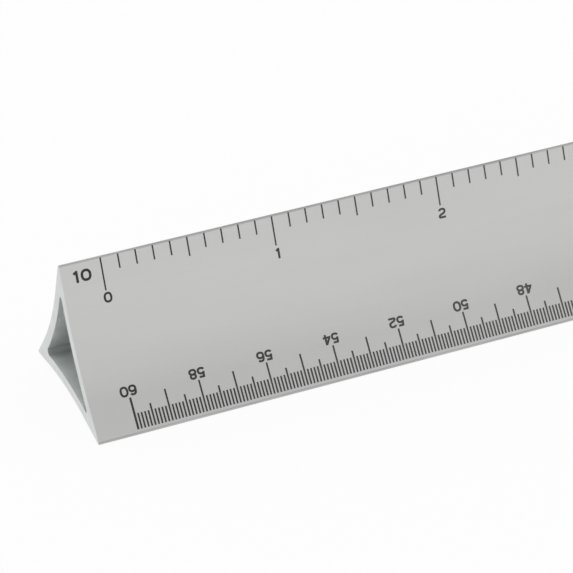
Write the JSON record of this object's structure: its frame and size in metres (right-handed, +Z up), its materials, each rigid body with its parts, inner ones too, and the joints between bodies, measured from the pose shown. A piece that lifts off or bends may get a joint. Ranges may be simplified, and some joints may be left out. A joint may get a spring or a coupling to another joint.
{
  "type": "engineer scale",
  "caption": "Triangular engineer's scale: a hollow aluminium extrusion with hollow-ground faces and printed graduations along its edges, for measuring and drawing to scale.",
  "frame": {"origin": "on the surface the scale lies on, at mid length, under the middle of the base face", "axes": "+X along the scale, the way the coarsest scale on the front face reads from left to right; +Z up, from the base face to the third edge; the front face, with the coarsest scale, looks towards -Y and up"},
  "size_m": [0.3168, 0.0252, 0.0219],
  "materials": {
    "anodised_aluminium": "satin, clear anodised",
    "ink": "matt print"
  },
  "bodies": {
    "root": {"scale_body": "anodised_aluminium", "scale_lines_10": "ink", "scale_lines_50": "ink", "scale_lines_20": "ink", "scale_lines_40": "ink", "scale_lines_30": "ink", "scale_lines_60": "ink"}
  },
  "joints": []
}
